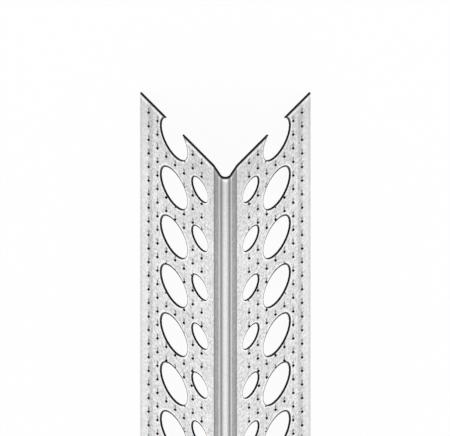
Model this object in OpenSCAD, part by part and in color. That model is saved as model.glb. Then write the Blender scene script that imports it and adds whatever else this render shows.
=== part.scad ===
// Perforated drywall corner bead: one strip of thin galvanised steel, rolled to a rounded nose
// between two punched flanges. It lies nose up on its two flange edges, along Y.
// Dimensions are millimetres, with +Z up and the origin under its middle.

/* [Strip] */
// Length of the piece of stock
length = 2438; // [600:1:3050]
// Thickness of the steel sheet
sheet_t = 0.4; // [0.3:0.05:0.8]

/* [Flanges] */
// Width of each flange, from the point where the two flange mid-planes meet to the edge
flange_w = 31.75; // [30:0.25:45]
// Angle between the two flanges as rolled, before a wall corner springs it open
included_angle = 70.5; // [60:0.5:92]

/* [Nose] */
// Outside radius of the rounded nose
nose_r = 1.45; // [1.2:0.05:2.5]
// Distance across the nose between its two creases
nose_w = 5.15; // [4.8:0.05:8]
// Angle by which each nose flank is steeper than its flange
flank_step = 10; // [6:1:14]

/* [Punching] */
// Distance between holes of one row, along the length
hole_pitch = 15; // [13:0.5:30]
// Diameter of the large plaster holes
large_d = 10.2; // [6:0.1:11]
// Distance from the flange edge to the middle of the large holes
large_edge = 12.7; // [9:0.1:14]
// Distance from the start of the strip to the middle of the first large hole, which the cut opens
large_first = 3.95; // [0:0.05:12]
// Diameter of the small nail holes
small_d = 6.2; // [3:0.1:7]
// Distance from the nose crease to the middle of the small holes
small_crease = 4.85; // [4.5:0.05:6]

/* [Hidden] */

// Steps that make up half of the nose arc
nose_steps = 8;
// Sides of the punch, only for display
punch_sides = 48;
// Length of the punch, which passes right through the sheet
punch_h = 4 * sheet_t;

half_t = sheet_t / 2;
slope = 90 - included_angle / 2;
flank_slope = slope + flank_step;
nose_mid_r = nose_r - half_t;

// Directions of the right-hand flange and flank, outwards and downwards, and their outside normals
flange_dir = [cos(slope), -sin(slope)];
flange_normal = [sin(slope), cos(slope)];
flank_normal = [sin(flank_slope), cos(flank_slope)];

// Height at which the flange mid-planes meet, with the flange edges on the floor
apex_z = flange_w * sin(slope) + half_t * cos(slope);
apex = [0, apex_z];

// Points of the right half of the sheet's mid-line
crease_u = nose_w / 2 / cos(slope);
crease = apex + crease_u * flange_dir;
edge = apex + flange_w * flange_dir;

// The nose arc is tangent to both flanks
nose_drop = (nose_mid_r - flank_normal[0] * crease[0]) / flank_normal[1];
nose_centre = [0, crease[1] - nose_drop];

// The crease keeps the sheet's thickness on a mitre between flank and flange
crease_mitre = (flange_normal + flank_normal) / (1 + flange_normal * flank_normal);

// Where the two rows of holes lie, measured down the flange from the apex
large_u = flange_w - large_edge;
small_u = crease_u + small_crease;
// The rows are punched half a pitch apart
small_first = large_first + hole_pitch / 2;

function mirrored(points) = [for (p = points) [-p[0], p[1]]];
function reversed(points) = [for (i = [len(points) - 1 : -1 : 0]) points[i]];

// One face of the right-hand flange, offset from the mid-line, from crease to edge
function flange_face(off) = [crease + off * crease_mitre, edge + off * flange_normal];

// One face of the nose, offset from the mid-line, from left flank to right flank
function nose_face(off) = [
    for (i = [-nose_steps : nose_steps])
        let (a = flank_slope * i / nose_steps)
        nose_centre + (nose_mid_r + off) * [sin(a), cos(a)]
];

// One whole face of the section, from the left edge over the nose to the right edge
function section_face(off) = concat(
    reversed(mirrored(flange_face(off))),
    nose_face(off),
    flange_face(off)
);

// The rolled section, seen along the length
module section() {
    polygon(concat(section_face(half_t), reversed(section_face(-half_t))));
}

// One row of holes through the right-hand flange
module punched_row(d, u, first) {
    last = floor((length + d / 2 - first) / hole_pitch);
    at = apex + u * flange_dir;
    for (i = [0 : last])
        translate([at[0], first + i * hole_pitch - length / 2, at[1]])
            rotate([0, slope, 0])
                cylinder(d = d, h = punch_h, center = true, $fn = punch_sides);
}

// Both rows of holes in the right-hand flange
module flange_punching() {
    punched_row(large_d, large_u, large_first);
    punched_row(small_d, small_u, small_first);
}

// The whole bead: the section run along the length, with both flanges punched
module corner_bead() {
    color("gainsboro")
        difference() {
            rotate([90, 0, 0])
                linear_extrude(height = length, center = true)
                    section();
            flange_punching();
            mirror([1, 0, 0])
                flange_punching();
        }
}

corner_bead();
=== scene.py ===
"""Looks of a drywall corner bead: one punched, dimpled and rolled strip of zinc-coated steel.

The bead lies nose up along Y, and the camera looks down on its first end.
All sizes are metres.
"""

import logging
import math
from collections.abc import Callable, Mapping, Sequence
from dataclasses import dataclass
from enum import Enum
from typing import TypeAlias

import bpy
from mathutils import Matrix, Vector


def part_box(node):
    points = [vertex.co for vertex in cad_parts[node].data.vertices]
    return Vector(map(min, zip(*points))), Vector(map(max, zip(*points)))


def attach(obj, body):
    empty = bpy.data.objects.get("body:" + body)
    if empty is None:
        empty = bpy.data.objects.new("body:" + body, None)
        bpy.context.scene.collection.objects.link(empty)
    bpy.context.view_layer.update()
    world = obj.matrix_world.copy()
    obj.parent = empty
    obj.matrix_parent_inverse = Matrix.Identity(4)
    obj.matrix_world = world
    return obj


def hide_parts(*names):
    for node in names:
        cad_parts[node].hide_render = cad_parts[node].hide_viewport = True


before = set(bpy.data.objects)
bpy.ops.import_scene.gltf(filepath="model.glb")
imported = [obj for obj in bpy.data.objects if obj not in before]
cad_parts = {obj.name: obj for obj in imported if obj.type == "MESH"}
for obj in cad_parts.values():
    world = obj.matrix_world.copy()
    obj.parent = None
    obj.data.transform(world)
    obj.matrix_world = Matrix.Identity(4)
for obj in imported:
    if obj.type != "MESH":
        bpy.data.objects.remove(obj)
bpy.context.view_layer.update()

MM = 0.001
NODE = "corner_bead"
PIECE = "corner_bead_sheet"
BODY = "root"
NOISE_MEAN = 0.5

LOG = logging.getLogger(NODE)

Point: TypeAlias = tuple[float, float]
Loop: TypeAlias = list[Point]
Given: TypeAlias = "Value | bpy.types.NodeSocket | float | Sequence[float]"


class Skin(Enum):
    """Material slots of the sheet, in order."""

    ZINC = 0
    # Near-black: the sheared walls, and painted shade in the dents.
    CUT = 1


class Value:
    """A number in a node tree, with Python's operators as its Math nodes."""

    def __init__(self, graph: "NodeGraph", socket: bpy.types.NodeSocket) -> None:
        """Wrap one output socket.

        Args:
            graph: The graph that the socket belongs to.
            socket: The output socket that holds the number.
        """
        self.graph = graph
        self.socket = socket

    def _math(self, operation: str, *operands: Given) -> "Value":
        """Add one Math node.

        Args:
            operation: The Math node's operation.
            operands: Its inputs, in order.

        Returns:
            The node's result.
        """
        inputs = dict(enumerate(operands))
        return self.graph.value(self.graph.node("ShaderNodeMath", {"operation": operation}, inputs))

    def __add__(self, other: Given) -> "Value":
        """Sum."""
        return self._math("ADD", self, other)

    __radd__ = __add__

    def __sub__(self, other: Given) -> "Value":
        """Difference."""
        return self._math("SUBTRACT", self, other)

    def __rsub__(self, other: Given) -> "Value":
        """Difference from a plain number."""
        return self._math("SUBTRACT", other, self)

    def __mul__(self, other: Given) -> "Value":
        """Product."""
        return self._math("MULTIPLY", self, other)

    __rmul__ = __mul__

    def __truediv__(self, other: Given) -> "Value":
        """Quotient."""
        return self._math("DIVIDE", self, other)

    def __mod__(self, other: Given) -> "Value":
        """Remainder, from zero up to the divisor."""
        return self._math("FLOORED_MODULO", self, other)

    def __pow__(self, other: Given) -> "Value":
        """Power."""
        return self._math("POWER", self, other)

    def __abs__(self) -> "Value":
        """Size without sign."""
        return self._math("ABSOLUTE", self)

    def larger(self, other: Given) -> "Value":
        """The larger of two values."""
        return self._math("MAXIMUM", self, other)

    def smaller(self, other: Given) -> "Value":
        """The smaller of two values."""
        return self._math("MINIMUM", self, other)


class NodeGraph:
    """The node tree of one material or world, emptied and built again."""

    def __init__(self, owner: bpy.types.Material | bpy.types.World) -> None:
        """Start an empty tree.

        Args:
            owner: The material or world that the tree belongs to.
        """
        owner.use_nodes = True
        self.tree = owner.node_tree
        self.tree.nodes.clear()

    def node(
        self,
        kind: str,
        settings: Mapping[str, object] | None = None,
        inputs: Mapping[str | int, Given] | None = None,
    ) -> bpy.types.Node:
        """Add one node.

        Args:
            kind: The node's type.
            settings: Its own settings, set first; "stops" gives a ramp's (position, grey) pairs.
            inputs: Values or links for its input sockets, by name or number.

        Returns:
            The new node.
        """
        made = self.tree.nodes.new(kind)
        for name, setting in (settings or {}).items():
            if name == "stops":
                self._set_stops(made.color_ramp, setting)
            else:
                setattr(made, name, setting)
        for key, given in (inputs or {}).items():
            self._feed(made.inputs[key], given)
        return made

    def value(self, made: bpy.types.Node, output: str | int = 0) -> Value:
        """One output of a node, as a number for shader maths."""
        return Value(self, made.outputs[output])

    def ramp(self, position: Value, stops: Sequence[Point]) -> Value:
        """Read a grey ramp whose stops are in the position's own unit.

        Args:
            position: Where on the ramp to read.
            stops: The ramp's (position, grey) pairs, in order of position.

        Returns:
            The grey at that position.
        """
        reach = stops[-1][0]
        settings = {"stops": [(at / reach, grey) for at, grey in stops]}
        return self.value(self.node("ShaderNodeValToRGB", settings, {"Fac": position / reach}))

    def noise(
        self,
        place: bpy.types.NodeSocket,
        size: float,
        detail: float = 2.0,
        roughness: float = 0.6,
    ) -> Value:
        """Noise about NOISE_MEAN, with features of about one size.

        Args:
            place: The coordinates to read.
            size: Size of its features.
            detail: How many finer layers are added.
            roughness: How strong the finer layers are.

        Returns:
            The noise.
        """
        inputs = {"Vector": place, "Scale": 1.0 / size, "Detail": detail, "Roughness": roughness}
        return self.value(self.node("ShaderNodeTexNoise", inputs=inputs))

    def grey(self, tone: Value) -> bpy.types.NodeSocket:
        """A grey colour of the given tone."""
        channels = {"Red": tone, "Green": tone, "Blue": tone}
        return self.node("ShaderNodeCombineColor", inputs=channels).outputs[0]

    def seen_directly(self) -> Value:
        """Tell what is seen from what only lights.

        Returns:
            One for rays from the camera, from a mirror or through glass, and zero for light.
        """
        path = self.node("ShaderNodeLightPath")
        seen = self.value(path, "Is Camera Ray")
        for ray in ("Is Glossy Ray", "Is Transmission Ray"):
            seen = seen.larger(self.value(path, ray))
        return seen

    def _feed(self, socket: bpy.types.NodeSocket, given: Given) -> None:
        """Link or set one input socket.

        Args:
            socket: The input socket.
            given: The value or output that it takes.
        """
        if isinstance(given, Value):
            given = given.socket
        if isinstance(given, bpy.types.NodeSocket):
            self.tree.links.new(given, socket)
        else:
            socket.default_value = given

    @staticmethod
    def _set_stops(ramp: bpy.types.ColorRamp, stops: Sequence[Point]) -> None:
        """Give a colour ramp its stops.

        Args:
            ramp: The ramp of a new node, which has two stops.
            stops: The two or more (position, grey) pairs that it gets, in order of position.
        """
        while len(ramp.elements) < len(stops):
            ramp.elements.new(1.0)
        for element, (position, grey) in zip(ramp.elements, stops):
            element.position = position
            element.color = (grey, grey, grey, 1.0)


@dataclass(frozen=True)
class Section:
    """The rolled section: two flat flanges, and a rounded nose over the line where they would meet.

    Attributes:
        sheet: Thickness of the sheet.
        flange: Width of each flange, from the line where the two would meet to its edge.
        included_angle: Angle between the flanges.
        nose_radius: Outside radius of the nose.
        nose_width: Distance between the two creases beside the nose.
        flank_step: How much steeper each flank of the nose is than its flange.
    """

    sheet: float = 0.4 * MM
    flange: float = 31.75 * MM
    included_angle: float = math.radians(70.5)
    nose_radius: float = 1.45 * MM
    nose_width: float = 5.15 * MM
    flank_step: float = math.radians(10)

    @property
    def slope(self) -> float:
        """Angle of each flange below the level."""
        return (math.pi - self.included_angle) / 2

    @property
    def flank(self) -> float:
        """Angle of each nose flank below the level."""
        return self.slope + self.flank_step

    @property
    def apex_height(self) -> float:
        """Height at which the flange mid-planes meet, with both flange edges on the floor."""
        return self.flange * math.sin(self.slope) + self.sheet / 2 * math.cos(self.slope)

    @property
    def crease_across(self) -> float:
        """Distance from the apex down the flange to the nose crease."""
        return self.nose_width / 2 / math.cos(self.slope)

    @property
    def crease(self) -> Vector:
        """Place of the right-hand crease in the section's plane."""
        drop = self.crease_across * math.sin(self.slope)
        return Vector((self.nose_width / 2, 0.0, self.apex_height - drop))

    @property
    def nose_mid_radius(self) -> float:
        """Radius of the nose arc at the middle of the sheet."""
        return self.nose_radius - self.sheet / 2

    @property
    def nose_centre(self) -> Vector:
        """Middle of the nose arc, which is tangent to both flanks."""
        drop = (self.nose_mid_radius - math.sin(self.flank) * self.crease.x) / math.cos(self.flank)
        return Vector((0.0, 0.0, self.crease.z - drop))

    @property
    def nose_tangent(self) -> Vector:
        """Place where the right-hand flank runs into the nose arc."""
        outwards = Vector((math.sin(self.flank), 0.0, math.cos(self.flank)))
        return self.nose_centre + self.nose_mid_radius * outwards


@dataclass(frozen=True)
class HoleRow:
    """One row of round holes along a flange.

    Attributes:
        radius: Radius of each hole.
        across: Distance of the row from the apex, down the flange.
        first: Place of the first hole's middle, along the strip.
        pitch: Distance between two holes.
        sides: How many straight sides draw one hole.
    """

    radius: float
    across: float
    first: float
    pitch: float
    sides: int

    def loop(self, along: float, start: float = 0.0, sweep: float = math.tau) -> Loop:
        """Points round one hole, or round part of one.

        Args:
            along: Place of the hole's middle along the strip.
            start: Angle of the first point.
            sweep: Angle that the points cover; a part of a turn includes its last point.

        Returns:
            The points, as (across, along).
        """
        turns = abs(sweep) / math.tau
        steps = round(self.sides * turns)
        count = steps if turns >= 1 else steps + 1
        angles = [start + sweep * i / steps for i in range(count)]
        return [
            (self.across + self.radius * math.cos(a), along + self.radius * math.sin(a))
            for a in angles
        ]

    def from_middle(self, across: float, along: float) -> Vector:
        """Where a flange point lies from the middle of the nearest hole."""
        nearest = self.first + round((along - self.first) / self.pitch) * self.pitch
        return Vector((across - self.across, along - nearest))

    def clearance(self, across: float, along: float) -> float:
        """Distance of a flange point from the nearest hole's rim, negative inside the hole."""
        return self.from_middle(across, along).length - self.radius

    def shaded_clearance(self, across: Value, along: Value, along_share: float) -> Value:
        """The same distance in a material's node tree.

        Args:
            across: Place across the flange.
            along: Place along the strip.
            along_share: How much a distance along the strip counts, beside one across it.

        Returns:
            The distance from the nearest hole's rim.
        """
        half = self.pitch / 2
        off = along_share * ((along + (half - self.first)) % self.pitch - half)
        return ((across - self.across) ** 2 + off ** 2) ** 0.5 - self.radius


@dataclass(frozen=True)
class DimpleGrid:
    """Small leaning dents, punched into the flanges in a grid, each with a painted shadow streak before
    it.

    Attributes:
        first_across: Distance of the innermost column from the apex, down the flange.
        across_step: Distance between two columns.
        columns: How many columns a flange has.
        first_along: Place of the innermost column's first dent, along the strip.
        along_step: Distance between two dents of a column, 18 to each repeat of the holes.
        lean: How far each column lies further along the strip than the one inside it.
        half_width: Reach of a dent's side corners across the flange.
        skew: Reach of its side corners along the strip.
        half_length: Reach of its tips along the strip.
        slant: Reach of its tips across the flange.
        depth: How deep its middle is pressed.
        hole_gap: Room that a dent keeps from a hole.
        most_push: Farthest that a dent is pushed aside to keep that room.
        scales: Shares of its size that a dent tries beside a hole, in order.
        streak_half_width: Half the width of a streak.
        streak_shift: How far a streak lies towards the nose from the middle of its dent.
        streak_start: Where a streak starts, before the middle of its dent.
        streak_stop: Where a streak stops, before the middle of its dent.
    """

    first_across: float = 8.64 * MM
    across_step: float = 3.317 * MM
    columns: int = 7
    first_along: float = 2.7 * MM
    along_step: float = 75 / 18 * MM
    lean: float = 0.132 * MM
    half_width: float = 0.62 * MM
    skew: float = 0.5 * MM
    half_length: float = 0.52 * MM
    slant: float = 0.1 * MM
    depth: float = 0.3 * MM
    hole_gap: float = 0.08 * MM
    most_push: float = 0.55 * MM
    scales: tuple[float, ...] = (1.0, 0.8, 0.6)
    streak_half_width: float = 0.36 * MM
    streak_shift: float = 0.06 * MM
    streak_start: float = 1.58 * MM
    streak_stop: float = 0.5 * MM

    def place(self, column: int, row: int) -> Vector:
        """Middle of one dent, as (across, along)."""
        across = self.first_across + column * self.across_step
        return Vector((across, self.first_along + row * self.along_step + column * self.lean))

    def loop(self, middle: Vector, scale: float = 1.0) -> Loop:
        """Rim of one dent.

        Args:
            middle: Its place on the flange.
            scale: Its share of a whole dent's size.

        Returns:
            The rim's points, as (across, along).
        """
        across, along = middle
        tip = Vector((-self.slant, self.half_length))
        side = Vector((self.half_width, self.skew))
        corners = [-tip, side, tip, -side]
        return [(across + scale * aside, along + scale * on) for aside, on in corners]

    def streaks(self, graph: NodeGraph, across: Value, along: Value) -> Value:
        """The painted shadow streaks before the dents, in a material's node tree.

        Args:
            graph: The material's node tree.
            across: Place across the flange.
            along: Place along the strip.

        Returns:
            One within a streak, and zero elsewhere.
        """
        half = self.across_step / 2
        grid_width = self.columns * self.across_step
        from_first = across + (half - self.first_across + self.streak_shift)
        from_grid = from_first.larger(0.0).smaller(grid_width)
        off = abs(from_grid % self.across_step - half)
        leaning = self.lean / self.across_step * (across - self.first_across)
        before = (self.first_along + leaning - along) % self.along_step
        width = [(0.0, 1.0), (self.streak_half_width / 2, 1.0), (self.streak_half_width, 0.0)]
        soft = self.streak_half_width / 2
        reach = [
            (self.streak_stop, 0.0),
            (self.streak_stop + soft, 1.0),
            (self.streak_start - soft, 1.0),
            (self.streak_start, 0.0),
        ]
        return graph.ramp(off, width) * graph.ramp(before, reach)


@dataclass(frozen=True)
class ToneBand:
    """A band along the strip, placed by its distance from the middle: painted shade or highlight, or
    where the rolls calmed the mottle.

    Attributes:
        start: Inner side of the band's full tone.
        stop: Outer side of the band's full tone.
        tone: That tone, as a factor.
        fade_in: Width over which the tone comes in, before the start.
        fade_out: Width over which the tone goes out, after the stop.
    """

    start: float
    stop: float
    tone: float
    fade_in: float
    fade_out: float

    def shade(self, graph: NodeGraph, sideways: Value) -> Value:
        """Tone of the band, as a factor that is one outside it.

        Args:
            graph: The material's node tree.
            sideways: Distance from the symmetry plane.

        Returns:
            The factor.
        """
        stops = [
            (self.start - self.fade_in, 1.0),
            (self.start, self.tone),
            (self.stop, self.tone),
            (self.stop + self.fade_out, 1.0),
        ]
        return graph.ramp(sideways, stops)


@dataclass(frozen=True)
class ZincFinish:
    """Matt zinc coating, mottled, with painted shade and highlight in bands, near the ends, before each
    dent and along every cut.

    Attributes:
        name: Name of the material.
        tone: Grey of the plain zinc.
        roughness: Mean roughness.
        roughness_spread: How much the grain changes the roughness.
        metallic: How metallic the coating is.
        grain_size: Size of the fine grain.
        grain_depth: How much the grain changes the tone.
        cloud_size: Size of the faint clouds.
        cloud_depth: How much the clouds change the tone.
        bump_height: Height of the grain.
        bump_strength: How much of that height shows.
        rim_widths: Width of the painted shade rims, for each row of holes.
        rim_shade_tone: Tone of the painted shade rims, as a factor.
        rim_shift: How far the painted shade rims are shifted from their holes, across and along.
        rim_along_share: How much a distance along the strip counts in a rim, beside one across it.
        end_rim_width: Width of the painted shade rim at each end of the strip.
        full_shade_share: Share of a rim's width that is wholly dark, before it fades into its painted
            highlight.
        highlight_share: Width of the painted highlight beside each rim, in widths of its rim.
        highlight_tone: Tone of that painted highlight, as a factor.
        end_painted_shade: Painted shade near each end, as (distance, factor) pairs.
        shadow_streak_tone: Tone of the painted shadow streaks before the dents, as a factor.
        shoulder: Painted shade line beside the crown of the nose.
        flank: Painted shade band down each side of the nose.
        crease: Painted shade line along the crease.
        flange: Faint painted shade band over the row of large holes.
        outer: Painted shade line within the flange's edge.
        strip: Painted highlight strip along the flange's edge.
        edge: Faint painted shade line on the flange's edge.
        crown_polish: What is left of grain and clouds on the crown.
        edge_polish: What is left of grain and clouds along the flange's edge.
    """

    name: str = "zinc_coating"
    tone: float = 0.78
    roughness: float = 0.42
    roughness_spread: float = 0.25
    metallic: float = 0.6
    grain_size: float = 0.6 * MM
    grain_depth: float = 1.7
    cloud_size: float = 4.5 * MM
    cloud_depth: float = 0.22
    bump_height: float = 0.05 * MM
    bump_strength: float = 0.15
    # Painted shade rims along the cuts, with a painted highlight beside them.
    rim_widths: tuple[float, ...] = (0.27 * MM, 0.2 * MM)
    rim_shade_tone: float = 0.03
    rim_shift: Point = (0.05 * MM, -0.1 * MM)
    rim_along_share: float = 0.97
    end_rim_width: float = 0.55 * MM
    full_shade_share: float = 0.5
    highlight_share: float = 0.75
    highlight_tone: float = 1.4
    # Painted shade near each end.
    end_painted_shade: tuple[Point, ...] = ((0.0, 0.83), (12 * MM, 0.92), (28 * MM, 1.0))
    # Painted shadow streaks before the dents.
    shadow_streak_tone: float = 0.3
    # Painted shade and highlight bands, from the nose outwards.
    shoulder: ToneBand = ToneBand(0.86 * MM, 1.02 * MM, 0.34, 0.56 * MM, 0.3 * MM)
    flank: ToneBand = ToneBand(1.56 * MM, 2.47 * MM, 0.45, 0.28 * MM, 0.11 * MM)
    crease: ToneBand = ToneBand(2.3 * MM, 2.42 * MM, 0.6, 0.18 * MM, 0.1 * MM)
    flange: ToneBand = ToneBand(9 * MM, 13 * MM, 0.95, 2 * MM, 2 * MM)
    outer: ToneBand = ToneBand(15.9 * MM, 16.5 * MM, 0.77, 0.3 * MM, 0.3 * MM)
    strip: ToneBand = ToneBand(17.1 * MM, 18.0 * MM, 1.04, 0.3 * MM, 0.2 * MM)
    edge: ToneBand = ToneBand(18.18 * MM, 18.24 * MM, 0.86, 0.2 * MM, 0.26 * MM)
    crown_polish: ToneBand = ToneBand(0.0, 1.3 * MM, 0.25, 0.0, 0.3 * MM)
    edge_polish: ToneBand = ToneBand(17.6 * MM, 18.5 * MM, 0.42, 0.8 * MM, 0.1 * MM)

    @property
    def shade_bands(self) -> tuple[ToneBand, ...]:
        """All painted shade and highlight bands, from the nose outwards."""
        return (
            self.shoulder,
            self.flank,
            self.crease,
            self.flange,
            self.outer,
            self.strip,
            self.edge,
        )

    def build(self, bead: "CornerBead") -> bpy.types.Material:
        """Make the material.

        Args:
            bead: The bead that it coats, with its middle at the origin.

        Returns:
            The zinc coating, on Object coordinates.
        """
        material = bpy.data.materials.new(self.name)
        graph = NodeGraph(material)
        place = graph.node("ShaderNodeTexCoord").outputs["Object"]
        split = graph.node("ShaderNodeSeparateXYZ", inputs={"Vector": place})
        sideways = abs(graph.value(split, "X"))
        slope = bead.section.slope
        down = bead.section.apex_height - graph.value(split, "Z")
        across = math.cos(slope) * sideways + math.sin(slope) * down
        along = graph.value(split, "Y") + bead.length / 2
        grain = graph.noise(place, self.grain_size)
        tone = self.tone * self._mottle(graph, place, sideways, grain)
        # Painted shade and highlight bands along the nose and flanges.
        for shade_band in self.shade_bands:
            tone = tone * shade_band.shade(graph, sideways)
        from_end = along.smaller(bead.length - along)
        # Painted shade near each end.
        tone = tone * graph.ramp(from_end, self.end_painted_shade)
        # Painted shade rims along every cut, with a painted highlight beside them.
        edge = self._nearest_hole(bead.rows, across, along).smaller(from_end / self.end_rim_width)
        # Painted shadow streaks before the dents.
        streaks = bead.dimples.streaks(graph, across, along)
        tone = tone * self._painted_cut_shade(graph, edge) * (1.0 - (1.0 - self.shadow_streak_tone) * streaks)
        bump = graph.node(
            "ShaderNodeBump",
            inputs={"Strength": self.bump_strength, "Distance": self.bump_height, "Height": grain},
        )
        surface = graph.node(
            "ShaderNodeBsdfPrincipled",
            inputs={
                "Base Color": graph.grey(tone.smaller(1.0)),
                "Metallic": self.metallic,
                "Roughness": self.roughness + self.roughness_spread * (grain - NOISE_MEAN),
                "Normal": bump.outputs[0],
            },
        )
        graph.node("ShaderNodeOutputMaterial", inputs={"Surface": surface.outputs[0]})
        return material

    def _mottle(
        self,
        graph: NodeGraph,
        place: bpy.types.NodeSocket,
        sideways: Value,
        grain: Value,
    ) -> Value:
        """Fine grain and faint clouds, weaker where the rolls pressed hardest.

        Args:
            graph: The material's node tree.
            place: The coordinates to read.
            sideways: Distance from the symmetry plane.
            grain: The fine grain.

        Returns:
            A factor about one.
        """
        cloud = graph.noise(place, self.cloud_size)
        left = self.crown_polish.shade(graph, sideways) * self.edge_polish.shade(graph, sideways)
        grains = self.grain_depth * (grain - NOISE_MEAN)
        clouds = self.cloud_depth * (cloud - NOISE_MEAN)
        return 1.0 + left * (grains + clouds)

    def _nearest_hole(self, rows: Sequence[HoleRow], across: Value, along: Value) -> Value:
        """How far the nearest hole is, a little less on the side towards which the painted shade rims are
        shifted.

        Args:
            rows: The rows of holes, in the order of the rim widths.
            across: Place across the flange.
            along: Place along the strip.

        Returns:
            The distance, counted in widths of that hole's bare rim.
        """
        shift_across, shift_along = self.rim_shift
        shifted = (across - shift_across, along - shift_along, self.rim_along_share)
        nearest, *others = [
            row.shaded_clearance(*shifted) / width for row, width in zip(rows, self.rim_widths)
        ]
        for other in others:
            nearest = nearest.smaller(other)
        return nearest

    def _painted_cut_shade(self, graph: NodeGraph, edge: Value) -> Value:
        """Painted tone along every cut: a dark rim of painted shade, and a painted highlight beside it.

        Args:
            graph: The material's node tree.
            edge: Distance from the nearest cut, in widths of its rim.

        Returns:
            A factor that is one away from the cuts.
        """
        highlight_stop = 1.0 + self.highlight_share
        stops = [
            (0.0, self.rim_shade_tone),
            (self.full_shade_share, self.rim_shade_tone),
            (1.0, self.highlight_tone),
            (highlight_stop, self.highlight_tone),
            (highlight_stop + 1.0, 1.0),
        ]
        return graph.ramp(edge, stops)


@dataclass(frozen=True)
class CutAndDentShadeFinish:
    """Bare steel where the sheet was sheared, dark beside the bright zinc; the same near-black is painted
    shade in the dents.

    Attributes:
        name: Name of the material.
        dark: Its darkest grey.
        light: Its lightest grey.
        patch_size: Size of its lighter patches.
        roughness: Its roughness.
        specular: Strength of its gloss.
    """

    name: str = "cut_steel_and_dent_shade"
    dark: float = 0.002
    light: float = 0.01
    patch_size: float = 0.3 * MM
    roughness: float = 0.6
    specular: float = 0.04

    def build(self) -> bpy.types.Material:
        """Make the material.

        Returns:
            The dark sheared steel, which is also painted shade in the dents.
        """
        material = bpy.data.materials.new(self.name)
        graph = NodeGraph(material)
        place = graph.node("ShaderNodeTexCoord").outputs["Object"]
        tone = self.dark + (self.light - self.dark) * graph.noise(place, self.patch_size)
        surface = graph.node(
            "ShaderNodeBsdfPrincipled",
            inputs={
                "Base Color": graph.grey(tone),
                "Roughness": self.roughness,
                "Specular IOR Level": self.specular,
            },
        )
        graph.node("ShaderNodeOutputMaterial", inputs={"Surface": surface.outputs[0]})
        return material


@dataclass(frozen=True)
class FloorFinish:
    """White studio floor, white to the camera, which keeps a faint shadow.

    Attributes:
        name: Name of the material.
        tone: Grey of its paint.
        glow: Share of plain white in what is seen of it.
    """

    name: str = "studio_floor"
    tone: float = 0.9
    glow: float = 0.94

    def build(self) -> bpy.types.Material:
        """Make the material.

        Returns:
            The floor's material.
        """
        material = bpy.data.materials.new(self.name)
        graph = NodeGraph(material)
        paint = graph.node(
            "ShaderNodeBsdfDiffuse", inputs={"Color": (self.tone, self.tone, self.tone, 1.0)}
        )
        white = graph.node("ShaderNodeEmission", inputs={"Strength": 1.0})
        mixed = graph.node(
            "ShaderNodeMixShader",
            inputs={0: graph.seen_directly() * self.glow, 1: paint.outputs[0], 2: white.outputs[0]},
        )
        graph.node("ShaderNodeOutputMaterial", inputs={"Surface": mixed.outputs[0]})
        return material


def deselect_all() -> None:
    """Leave object mode's selection empty."""
    bpy.ops.object.select_all(action="DESELECT")


def make_active(piece: bpy.types.Object) -> None:
    """Select one piece alone, for the operators that follow.

    Args:
        piece: The piece.
    """
    deselect_all()
    bpy.context.view_layer.objects.active = piece
    piece.select_set(True)


def edit(
    piece: bpy.types.Object,
    work: Callable[[], object],
    mode: str = "VERT",
    everything: bool = True,
) -> None:
    """Do one job on a piece in edit mode.

    Args:
        piece: The piece to edit.
        work: The operators to run.
        mode: What is selected: "VERT", "EDGE" or "FACE".
        everything: Whether all of the piece is selected first.
    """
    make_active(piece)
    bpy.ops.object.mode_set(mode="EDIT")
    bpy.ops.mesh.select_mode(type=mode)
    if everything:
        bpy.ops.mesh.select_all(action="SELECT")
    work()
    bpy.ops.object.mode_set(mode="OBJECT")


def select_points(piece: bpy.types.Object, wanted: Callable[[Vector], bool]) -> None:
    """Select a piece's points by their place, with the edges between them.

    Args:
        piece: The piece, in object mode.
        wanted: Says whether a point at this place is selected.
    """
    mesh = piece.data
    chosen = [wanted(point.co) for point in mesh.vertices]
    mesh.vertices.foreach_set("select", chosen)
    mesh.edges.foreach_set("select", [all(chosen[i] for i in line.vertices) for line in mesh.edges])
    mesh.polygons.foreach_set("select", [False] * len(mesh.polygons))


def finish_with(piece: bpy.types.Object, kind: str, **settings: object) -> None:
    """Add one modifier to a piece and apply it.

    Args:
        piece: The piece.
        kind: The modifier's type.
        settings: The modifier's settings.
    """
    make_active(piece)
    modifier = piece.modifiers.new(kind.lower(), kind)
    for name, setting in settings.items():
        setattr(modifier, name, setting)
    bpy.ops.object.modifier_apply(modifier=modifier.name)


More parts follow.
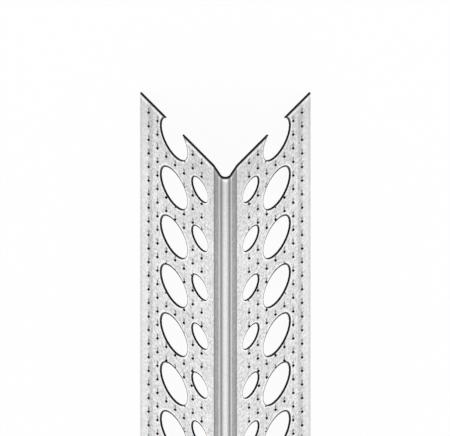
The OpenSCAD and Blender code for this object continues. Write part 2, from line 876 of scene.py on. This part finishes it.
@dataclass
class CornerBead:
    """The bead: one flange is punched flat, run to length, folded, rolled over the nose and thickened.

    Attributes:
        length: Length of the strip.
        section: The rolled section.
        dimples: The grid of dents.
        pitch: Distance between two holes of a row.
        large_radius: Radius of the large plaster holes.
        large_edge: Distance of their middles from the flange's edge.
        large_first: Place of the first one's middle, along the strip.
        large_sides: How many straight sides draw one.
        small_radius: Radius of the small nail holes.
        small_crease: Distance of their middles from the crease.
        small_sides: How many straight sides draw one.
        pitches_per_repeat: Pitches after which holes and dents come round together.
        first_seam: Large hole, counted from zero, through which the first seam between repeats runs.
        edge_parts: Parts of the flange's edge in one repeat.
        crease_parts: Parts of the crease in one repeat.
        nose_steps: Steps of the arc over half of the nose.
        smooth_angle: Angle up to which neighbouring faces look like one smooth face.
        hair: Distance within which two points are one.
        end_tolerance: Distance within which a point lies on an end's cut.
        piece: The bead's object, once it is laid out.
    """

    length: float
    section: Section = Section()
    dimples: DimpleGrid = DimpleGrid()
    pitch: float = 15 * MM
    large_radius: float = 5.1 * MM
    large_edge: float = 12.7 * MM
    large_first: float = 3.95 * MM
    large_sides: int = 26
    small_radius: float = 3.1 * MM
    small_crease: float = 4.85 * MM
    small_sides: int = 20
    pitches_per_repeat: int = 5
    first_seam: int = 2
    edge_parts: int = 15
    crease_parts: int = 2
    nose_steps: int = 12
    smooth_angle: float = math.radians(8)
    hair: float = 0.005 * MM
    end_tolerance: float = 0.0005 * MM
    piece: bpy.types.Object | None = None

    @property
    def large(self) -> HoleRow:
        """The row of large plaster holes, placed from the flange's edge."""
        across = self.section.flange - self.large_edge
        return HoleRow(self.large_radius, across, self.large_first, self.pitch, self.large_sides)

    @property
    def small(self) -> HoleRow:
        """The row of small nail holes.

        Returns:
            The row, placed from the crease, half a pitch behind the large holes.
        """
        across = self.section.crease_across + self.small_crease
        first = self.large_first + self.pitch / 2
        return HoleRow(self.small_radius, across, first, self.pitch, self.small_sides)

    @property
    def rows(self) -> tuple[HoleRow, ...]:
        """Both rows of holes in each flange."""
        return (self.large, self.small)

    @property
    def repeat(self) -> float:
        """Length after which holes and dents come round together."""
        return self.pitch * self.pitches_per_repeat

    @property
    def repeat_start(self) -> float:
        """Start of the first repeat, in the middle of a large hole and before the strip's first end."""
        return self.large_first + self.pitch * self.first_seam - self.repeat

    def build(self) -> bpy.types.Object:
        """Make the whole bead.

        Returns:
            The bead, at the origin, with its two finishes.
        """
        self._lay_out_repeat()
        self._fill_sheet()
        self._press_dimples()
        self._run_to_length()
        self._fold_flange()
        self._roll_nose()
        self._dress()
        self._thicken()
        return self.piece

    def _outline(self) -> Loop:
        """Draw the edge of one repeat of the flange.

        Returns:
            Its points; both its ends run through the middle of a large hole.
        """
        start, stop = self.repeat_start, self.repeat_start + self.repeat
        inner, outer = self.section.crease_across, self.section.flange
        near = self.large.loop(start, math.pi, -math.pi)
        far = self.large.loop(stop, 0.0, -math.pi)
        up = [(outer, start + self.repeat * i / self.edge_parts) for i in range(self.edge_parts + 1)]
        down = [(inner, stop - self.repeat * i / self.crease_parts) for i in range(self.crease_parts + 1)]
        return near + up + far + down

    def _hole_loops(self) -> list[Loop]:
        """Draw the holes of one repeat.

        Returns:
            The rims of those that lie whole within it.
        """
        starts = [self.repeat_start + i * self.pitch for i in range(self.pitches_per_repeat)]
        large = [self.large.loop(along) for along in starts[1:]]
        small = [self.small.loop(along + self.pitch / 2) for along in starts]
        return large + small

    def _room(self, row: HoleRow, loop: Loop) -> float:
        """Measure how close a dent comes to a row of holes.

        Args:
            row: The row of holes.
            loop: The dent's rim.

        Returns:
            The least distance between them, at the rim's corners and the middles of its sides.
        """
        sides = zip(loop, loop[1:] + loop[:1])
        middles = [((a[0] + b[0]) / 2, (a[1] + b[1]) / 2) for a, b in sides]
        return min(row.clearance(*point) for point in loop + middles)

    def _dent(self, middle: Vector) -> Loop | None:
        """One dent of the grid, made smaller and pushed aside a little where it would touch a hole.

        Args:
            middle: Its place on the flange.

        Returns:
            The dent's rim, or None where a hole takes its place.
        """
        grid = self.dimples
        for scale in grid.scales:
            at = middle.copy()
            for row in self.rows:
                short = grid.hole_gap - self._room(row, grid.loop(at, scale))
                if 0 < short < grid.most_push:
                    at += short * row.from_middle(*at).normalized()
            loop = grid.loop(at, scale)
            if all(self._room(row, loop) > 0 for row in self.rows):
                return loop
        return None

    def _dimple_loops(self) -> list[Loop]:
        """Draw the dents of one repeat.

        Returns:
            The rims of those that no hole takes the place of.
        """
        grid = self.dimples
        first_row = math.ceil((self.repeat_start - grid.first_along) / grid.along_step)
        rows = range(first_row, first_row + round(self.repeat / grid.along_step))
        dents = [self._dent(grid.place(column, row)) for row in rows for column in range(grid.columns)]
        return [dent for dent in dents if dent]

    def _lay_out_repeat(self) -> None:
        """Draw the outline, the holes and the dents of one repeat as closed loops of edges."""
        points, lines = [], []
        for loop in [self._outline(), *self._hole_loops(), *self._dimple_loops()]:
            base, count = len(points), len(loop)
            points += [(across, along - self.length / 2, 0.0) for across, along in loop]
            lines += [(base + i, base + (i + 1) % count) for i in range(count)]
        mesh = bpy.data.meshes.new(PIECE)
        mesh.from_pydata(points, lines, [])
        self.piece = bpy.data.objects.new(PIECE, mesh)
        bpy.context.scene.collection.objects.link(self.piece)

    def _fill_sheet(self) -> None:
        """Fill the sheet between the loops, with its outer face up."""

        def fill() -> None:
            """Fill, then turn all faces one way."""
            bpy.ops.mesh.remove_doubles(threshold=self.hair)
            bpy.ops.mesh.fill(use_beauty=True)
            bpy.ops.mesh.select_all(action="SELECT")
            bpy.ops.mesh.normals_make_consistent(inside=False)

        edit(self.piece, fill)
        if sum(face.normal.z * face.area for face in self.piece.data.polygons) < 0:
            edit(self.piece, bpy.ops.mesh.flip_normals)

    def _press_dimples(self) -> None:
        """Close each dent's rim, press its middle down and paint it near-black as painted shade."""
        corners = len(self.dimples.loop(Vector((0.0, 0.0))))

        def poke() -> None:
            """Fill the rims and press a point into each."""
            bpy.ops.mesh.fill_holes(sides=corners)
            bpy.ops.mesh.select_mode(type="FACE")
            bpy.ops.mesh.select_all(action="DESELECT")
            bpy.ops.mesh.select_face_by_sides(number=corners, type="EQUAL")
            bpy.ops.mesh.poke(offset=-self.dimples.depth, center_mode="MEDIAN")

        edit(self.piece, poke)
        dents = [face for face in self.piece.data.polygons if face.select]
        # Painted shade: the dents take the near-black cut finish.
        for face in dents:
            face.material_index = Skin.CUT.value
        LOG.info("dents in one repeat: %d", len(dents) // corners)

    def _run_to_length(self) -> None:
        """Repeat the flange along the strip and cut both ends square."""
        half = self.length / 2
        finish_with(
            self.piece,
            "ARRAY",
            count=math.ceil((self.length - self.repeat_start) / self.repeat),
            use_relative_offset=False,
            use_constant_offset=True,
            constant_offset_displace=(0.0, self.repeat, 0.0),
            use_merge_vertices=True,
            merge_threshold=self.hair,
        )

        def cut() -> None:
            """Bisect at both ends and drop what lies beyond."""
            for end in (-half, half):
                bpy.ops.mesh.select_all(action="SELECT")
                bpy.ops.mesh.bisect(
                    plane_co=(0.0, end, 0.0),
                    plane_no=(0.0, math.copysign(1.0, end), 0.0),
                    clear_outer=True,
                    threshold=self.end_tolerance,
                )

        edit(self.piece, cut)

    def _fold_flange(self) -> None:
        """Turn the flat flange down to its slope, with its apex line on the symmetry plane."""
        raised = Matrix.Translation((0.0, 0.0, self.section.apex_height))
        self.piece.matrix_world = raised @ Matrix.Rotation(self.section.slope, 4, "Y")
        make_active(self.piece)
        bpy.ops.object.transform_apply(location=True, rotation=True, scale=True)

    def _roll_nose(self) -> None:
        """Draw the flank out of the crease, spin it over the nose and mirror the half."""
        section = self.section
        crease = section.crease

        def on_crease(at: Vector) -> bool:
            """Whether a point lies on the crease line."""
            return math.hypot(at.x - crease.x, at.z - crease.z) < self.hair

        def roll() -> None:
            """Extrude the flank and spin it up to the symmetry plane."""
            move = section.nose_tangent - crease
            bpy.ops.mesh.extrude_edges_move(TRANSFORM_OT_translate={"value": move})
            bpy.ops.mesh.spin(
                steps=self.nose_steps, angle=section.flank, center=section.nose_centre, axis=(0, 1, 0)
            )
            bpy.ops.mesh.select_all(action="SELECT")
            bpy.ops.mesh.remove_doubles(threshold=self.hair)

        select_points(self.piece, on_crease)
        edit(self.piece, roll, mode="EDGE", everything=False)
        finish_with(
            self.piece,
            "MIRROR",
            use_axis=(True, False, False),
            use_mirror_merge=True,
            merge_threshold=self.hair,
        )

    def _dress(self) -> None:
        """Give the sheet its two finishes, before the cut edges take theirs."""
        finishes = {Skin.ZINC: ZincFinish().build(self), Skin.CUT: CutAndDentShadeFinish().build()}
        for skin in Skin:
            self.piece.data.materials.append(finishes[skin])

    def _thicken(self) -> None:
        """Give the sheet its thickness, with a skin of its own on every cut edge."""
        finish_with(
            self.piece,
            "SOLIDIFY",
            thickness=self.section.sheet,
            offset=0.0,
            use_even_offset=False,
            material_offset=-Skin.CUT.value,
            material_offset_rim=Skin.CUT.value,
        )
        bpy.ops.object.shade_smooth_by_angle(angle=self.smooth_angle)


@dataclass
class Studio:
    """White floor, soft light and the camera at the photograph's viewing angle.

    Attributes:
        bead: The bead that is shown.
        image: Width and height of the picture, in pixels.
        apex_px: Where the apex of the first end shows, in pixels from the top left.
        px_per_metre: Scale of the picture, square to the view.
        view_angle: Angle between the line of sight and the vertical.
        camera_distance: Distance of the camera from the middle of what it shows.
        camera_reach: Nearest and farthest distance that the camera shows.
        floor_size: Side of the square floor.
        world_strength: Strength of the light from all round.
        lamp_size: Side of the square lamp.
        lamp_power: Power of the lamp, in watts.
        lamp_height: Height of the lamp over the floor.
        lamp_reach: How far the lamp hangs before the first end.
        lamp_tilt: Turn of the lamp about X, which leans its light away from the bead.
    """

    bead: CornerBead
    image: tuple[int, int] = (450, 436)
    apex_px: Point = (225.35, 176.9)
    px_per_metre: float = 4613.0
    view_angle: float = math.radians(45)
    camera_distance: float = 1.0
    camera_reach: Point = (0.01, 100.0)
    floor_size: float = 12.0
    world_strength: float = 0.85
    lamp_size: float = 1.2
    lamp_power: float = 6.0
    lamp_height: float = 1.6
    lamp_reach: float = 0.3
    lamp_tilt: float = math.radians(-12)

    def build(self) -> None:
        """Set the whole stage."""
        self._lay_floor()
        self._light_world()
        self._hang_lamp()
        self._place_camera()
        bpy.context.scene.view_settings.view_transform = "Standard"

    def _lay_floor(self) -> None:
        """One large white floor under the bead."""
        deselect_all()
        bpy.ops.mesh.primitive_plane_add(size=self.floor_size)
        floor = bpy.context.object
        floor.name = "studio_floor"
        floor.data.materials.append(FloorFinish().build())

    def _light_world(self) -> None:
        """Even white surroundings, white to the camera and to mirrors."""
        world = bpy.data.worlds.new("studio_world")
        graph = NodeGraph(world)
        strength = self.world_strength + (1.0 - self.world_strength) * graph.seen_directly()
        shell = graph.node(
            "ShaderNodeBackground", inputs={"Color": (1.0, 1.0, 1.0, 1.0), "Strength": strength}
        )
        graph.node("ShaderNodeOutputWorld", inputs={"Surface": shell.outputs[0]})
        bpy.context.scene.world = world

    def _hang_lamp(self) -> None:
        """One wide soft lamp over the bead's first end."""
        data = bpy.data.lights.new("soft_box", "AREA")
        data.shape = "SQUARE"
        data.size = self.lamp_size
        data.energy = self.lamp_power
        lamp = bpy.data.objects.new("soft_box", data)
        lamp.location = (0.0, -self.bead.length / 2 - self.lamp_reach, self.lamp_height)
        lamp.rotation_euler = (self.lamp_tilt, 0.0, 0.0)
        bpy.context.scene.collection.objects.link(lamp)

    def _place_camera(self) -> None:
        """Look down on the first end, with that end towards the top of the picture."""
        back = Vector((0, -math.sin(self.view_angle), math.cos(self.view_angle)))
        up = Vector((0, -math.cos(self.view_angle), -math.sin(self.view_angle)))
        right = up.cross(back)
        apex = Vector((0, -self.bead.length / 2, self.bead.section.apex_height))
        off_right = (self.image[0] / 2 - self.apex_px[0]) / self.px_per_metre
        off_up = (self.apex_px[1] - self.image[1] / 2) / self.px_per_metre
        centre = apex + off_right * right + off_up * up
        data = bpy.data.cameras.new("camera")
        data.type = "ORTHO"
        data.ortho_scale = max(self.image) / self.px_per_metre
        data.clip_start, data.clip_end = self.camera_reach
        camera = bpy.data.objects.new("camera", data)
        turn = Matrix((right, up, back)).transposed().to_4x4()
        camera.matrix_world = Matrix.Translation(centre + self.camera_distance * back) @ turn
        bpy.context.scene.collection.objects.link(camera)
        bpy.context.scene.camera = camera


def main() -> None:
    """Build the bead and its studio, and report what was made."""
    logging.basicConfig(level=logging.INFO, format="%(name)s: %(message)s")
    low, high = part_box(NODE)
    bead = CornerBead(length=high[1] - low[1])
    piece = bead.build()
    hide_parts(NODE)
    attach(piece, BODY)
    triangles = sum(len(face.vertices) - 2 for face in piece.data.polygons)
    LOG.info("%s: %d triangles", piece.name, triangles)
    Studio(bead).build()


if __name__ == "__main__":
    main()
